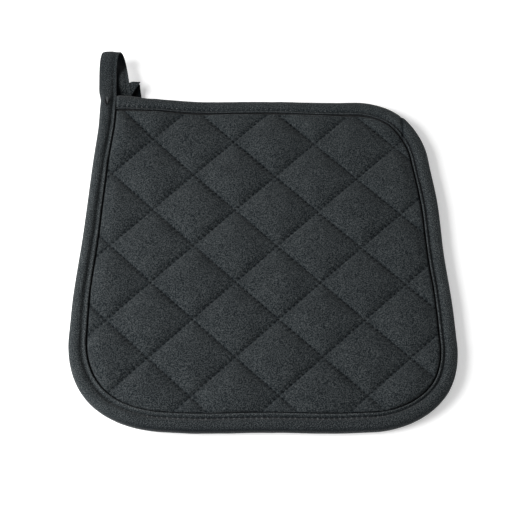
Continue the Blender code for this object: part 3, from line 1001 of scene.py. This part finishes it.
def stitch_shade(tree):
    """The tape's painted light, shade and wear, and painted shade in dashes along the
    topstitch's groove.
    """
    place = add_node(tree, "ShaderNodeAttribute", attribute_name="Groove").outputs["Vector"]
    parts = add_node(tree, "ShaderNodeSeparateXYZ", {0: place})
    near = math_node(tree, "ADD", parts.outputs["Y"], GROOVE_OUT)
    near = math_node(tree, "ABSOLUTE", near)
    near = math_node(tree, "MULTIPLY_ADD", near, -1 / GROOVE_HALF, GROOVE_CORE, clamp=True)
    turns = math_node(tree, "MULTIPLY", parts.outputs["X"], 2 * math.pi / TOPSTITCH)
    dash = math_node(tree, "COSINE", turns)
    dash = math_node(tree, "MULTIPLY_ADD", dash, DASH_SWING, DASH_DARK)
    near = math_node(tree, "MULTIPLY", near, parts.outputs["Z"])
    groove = math_node(tree, "MULTIPLY", near, dash)
    groove = math_node(tree, "SUBTRACT", 1.0, groove)
    return math_node(tree, "MULTIPLY", groove, shade_and_wear(tree))


tape_cotton = cotton_material(
    "bias tape cotton", TAPE_GREY, "Tape", math.radians(45), 1.65, stitch_shade
)
tape = finish_piece("binding_tape", tape_mesh, tape_cotton)
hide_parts("binding", "hanging_loop")

# ------------------------------------------------------------
# Topstitching: one line of black thread near the tape's inner edge, through the tape and
# the panel, and on along the loop's strip, where it holds the fold shut.

FIRST_HOLE, LAST_HOLE = 0.0013, 0.001  # from the tape's two ends
TOPSTITCH_RADIUS = 0.00018
BLACK_THREAD = (0.006, 0.0065, 0.007)
# Two dark strands are painted shade: they stand for the shaded creases where the left side
# meets the loop. The distance past the corner and in from the outer fold of both ends, and the
# radius.
SHADE_STRANDS = (
    (-0.0008, 0.0027, -0.0066, 0.0041, 0.00060),
    (0.0004, 0.0059, -0.0066, 0.0044, 0.00060),
)

hole_runs = np.arange(FIRST_HOLE, tape_run[-1] - LAST_HOLE, TOPSTITCH) + TOPSTITCH / 2


def tape_points(runs, into=None, side=1):
    """Places on the tape at distances along it and in from its outer fold, or else in the
    topstitch's groove, and the way out of the cloth there."""
    rows, way_in, way_up = (
        np.stack([np.interp(runs, tape_run, column) for column in table.T], axis=1)
        for table in (tape_rows, tape_in, tape_up)
    )
    stitch = rows[:, WIDTH] - rows[:, LIP_ACROSS]
    into = stitch if into is None else into
    up = side * between(TUBE, into / stitch) * rows[:, HALF] / CREST
    return rows[:, :3] + way_in * into[:, None] + way_up * up[:, None], way_up * side


def strands(rows):
    """Starts, ends, ways up and radii of strands from their table."""
    start, start_in, end, end_in, radii = np.array(rows).T
    starts, ups = tape_points(corner_run + start, start_in)
    ends, _ = tape_points(corner_run + end, end_in)
    return starts, ends, ups, radii


# The strands of painted shade go with the topstitching's black thread.
sewn = [strands(SHADE_STRANDS)]
for side in (1, -1):
    places, ways_up = tape_points(hole_runs, side=side)
    radii = np.full(len(places) - 1, TOPSTITCH_RADIUS)
    sewn.append((places[:-1], places[1:], ways_up[:-1], radii))
topstitch_mesh = stitches(*(np.concatenate(column) for column in zip(*sewn)))
dark_thread = thread_material("black thread", BLACK_THREAD)
topstitching = finish_piece("topstitching", topstitch_mesh, dark_thread)

# ------------------------------------------------------------
# Needle flecks: at many needle holes the thread's pale core shows for about a millimetre.
# Where the seam starts it was sewn back and forth, so there are more.

FLECK = 0.0011
FLECK_SPREAD = (0.7, 1.2)
FLECK_LEAN = 0.0003
FLECK_STRAY = 0.0002
FLECK_RADIUS = 0.00022
FLECK_OUT = (0.0004, 0.0006)  # from the topstitch towards the outer fold
PALE = (0.12, 0.125, 0.13)
# How plain the flecks are, by degrees clockwise from the upper left corner.
FLECK_SHARES = (
    (0, 0.7), (30, 0.45), (120, 0.3), (185, 0.4), (200, 1.0), (250, 1.0), (262, 0.4),
    (330, 0.3), (360, 0.5),
)
LOOP_SHARE = 0.35
LOOP_FLECKS = 0.020  # how far along the loop they are seen
SHARE_SPREAD = (0.5, 1.15)
LEAST_PLAIN = 0.30  # the share below which a fleck is left out
# A pale strand between those creases, as in the dark strands' table.
PALE_STRANDS = ((0.0010, 0.0040, -0.0054, 0.0044, 0.00034),)
# Where the seam was sewn back and forth: from, to, and how far from the inner edge.
BACK_ROWS = ((0.0010, 0.0200, 0.0021), (0.0040, 0.0150, 0.0026))
BACK_STEP = 0.0016
BACK_STRAY, BACK_SPREAD = 0.0005, 0.0006  # along the tape and across it
BACK_SHARES = (0.3, 0.8)

rng = np.random.default_rng(17)
fleck_runs = hole_runs + rng.uniform(-FLECK_STRAY, FLECK_STRAY, len(hole_runs))
columns = [np.interp(fleck_runs, tape_run, column) for column in tape_rows.T]
fleck_into = columns[WIDTH] - columns[LIP_ACROSS] - rng.uniform(*FLECK_OUT, len(fleck_runs))
turn = clockwise(np.stack(columns[:2], axis=1))
plain = between(FLECK_SHARES, turn)
plain[fleck_runs > corner_run] = LOOP_SHARE
plain[fleck_runs > corner_run + LOOP_FLECKS] = 0.0
plain = plain * rng.uniform(*SHARE_SPREAD, len(plain))
for start, end, from_edge in BACK_ROWS:
    more = np.arange(start, end, BACK_STEP)
    more = more + rng.uniform(-BACK_STRAY, BACK_STRAY, len(more))
    width = np.interp(more, tape_run, tape_rows[:, WIDTH])
    fleck_runs = np.concatenate((fleck_runs, more))
    into = width - from_edge + rng.uniform(-BACK_SPREAD, BACK_SPREAD, len(more))
    fleck_into = np.concatenate((fleck_into, into))
    plain = np.concatenate((plain, rng.uniform(*BACK_SHARES, len(more))))
kept = plain > LEAST_PLAIN
fleck_runs, fleck_into, plain = fleck_runs[kept], fleck_into[kept], plain[kept]
length = FLECK * rng.uniform(*FLECK_SPREAD, len(fleck_runs)) * (0.6 + 0.4 * plain)
lean = rng.uniform(-FLECK_LEAN, FLECK_LEAN, len(fleck_runs))
fleck_starts, fleck_ups = tape_points(fleck_runs - length / 2, fleck_into - lean)
fleck_ends, _ = tape_points(fleck_runs + length / 2, fleck_into + lean)
flecks = (fleck_starts, fleck_ends, fleck_ups, FLECK_RADIUS * plain)
fleck_mesh = stitches(*(np.concatenate(both) for both in zip(flecks, strands(PALE_STRANDS))))
pale_thread = thread_material("pale thread", PALE)
flecks = finish_piece("needle_flecks", fleck_mesh, pale_thread)

# ------------------------------------------------------------
# Table: a plain white surface under the pot holder, so pale that the cloth stands out as it
# does on paper. It isn't part of the object.

TABLE_HALF = 3.0
TABLE_WHITE = (0.9, 0.9, 0.9, 1)
TABLE_GLOW = 0.3

table_mesh = bmesh.new()
bmesh.ops.create_grid(table_mesh, x_segments=1, y_segments=1, size=TABLE_HALF)
white, _, surface = new_material("white surface")
surface["Base Color"].default_value = TABLE_WHITE
surface["Roughness"].default_value = 0.8
surface["Emission Color"].default_value = (1, 1, 1, 1)
surface["Emission Strength"].default_value = TABLE_GLOW
table = new_object("table", table_mesh, white)

# ------------------------------------------------------------
# Light and camera: a large soft lamp on the left, a weak low one on the right, and an even
# white surrounding. The camera looks down at 60 degrees, as in the photograph.

ROOM_LIGHT = 0.28
CAMERA_PLACE = (-0.00357, -0.41537, 0.69749)
CAMERA_TILT = math.radians(30)
SENSOR = 36.0
FOCAL_PIXELS, IMAGE_PIXELS = 1500, 512


def area_light(name, place, size, power):
    """A square soft lamp that points at the middle of the pot holder."""
    lamp = bpy.data.lights.new(name, "AREA")
    lamp.shape = "SQUARE"
    lamp.size = size
    lamp.energy = power
    holder = bpy.data.objects.new(name, lamp)
    holder.location = place
    holder.rotation_euler = (-Vector(place)).to_track_quat("-Z", "Y").to_euler()
    bpy.context.scene.collection.objects.link(holder)


area_light("left lamp", (-0.66, -0.15, 0.424), size=0.59, power=14.4)
area_light("right lamp", (0.62, -0.12, 0.15), size=0.40, power=1.3)

world = bpy.data.worlds.new("white room")
world.use_nodes = True
world.node_tree.nodes["Background"].inputs["Color"].default_value = (1, 1, 1, 1)
world.node_tree.nodes["Background"].inputs["Strength"].default_value = ROOM_LIGHT
bpy.context.scene.world = world
bpy.context.scene.view_settings.view_transform = "Standard"

camera_data = bpy.data.cameras.new("camera")
camera_data.sensor_width = SENSOR
camera_data.lens = SENSOR * FOCAL_PIXELS / IMAGE_PIXELS
camera = bpy.data.objects.new("camera", camera_data)
camera.location = CAMERA_PLACE
camera.rotation_euler = (CAMERA_TILT, 0.0, 0.0)
bpy.context.scene.collection.objects.link(camera)
bpy.context.scene.camera = camera
